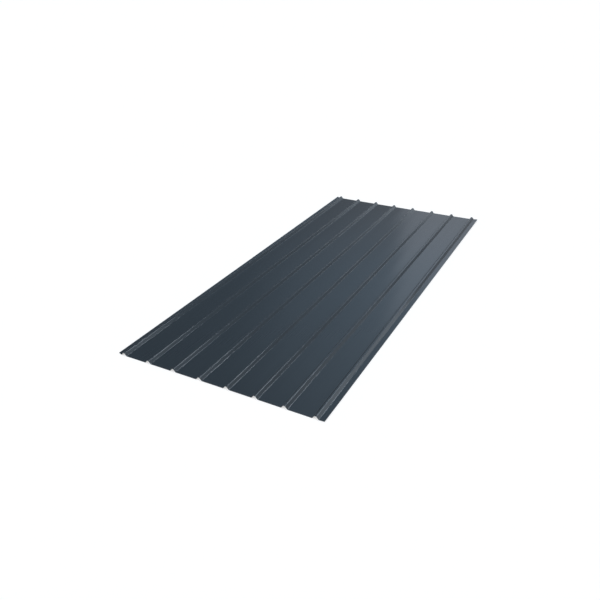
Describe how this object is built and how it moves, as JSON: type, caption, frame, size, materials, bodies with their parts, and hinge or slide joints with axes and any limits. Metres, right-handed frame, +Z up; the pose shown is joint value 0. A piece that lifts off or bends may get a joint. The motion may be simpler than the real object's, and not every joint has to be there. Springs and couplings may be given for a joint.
{
  "type": "corrugated metal sheet",
  "caption": "Roll-formed painted steel sheet with narrow raised ribs between wide flat pans, a raised lip along one side and a lap flange along the other, for roofs and walls.",
  "frame": {"origin": "under the middle of the sheet: the centre of its box, level with the undersides of the pans", "axes": "+Y along the ribs, +X across the sheet from the raised lip to the lap flange, +Z up, the way the rib crests point"},
  "size_m": [0.9101, 2, 0.012],
  "materials": {
    "paint": "satin"
  },
  "bodies": {
    "root": {"profiled_sheet": "paint"}
  },
  "joints": []
}
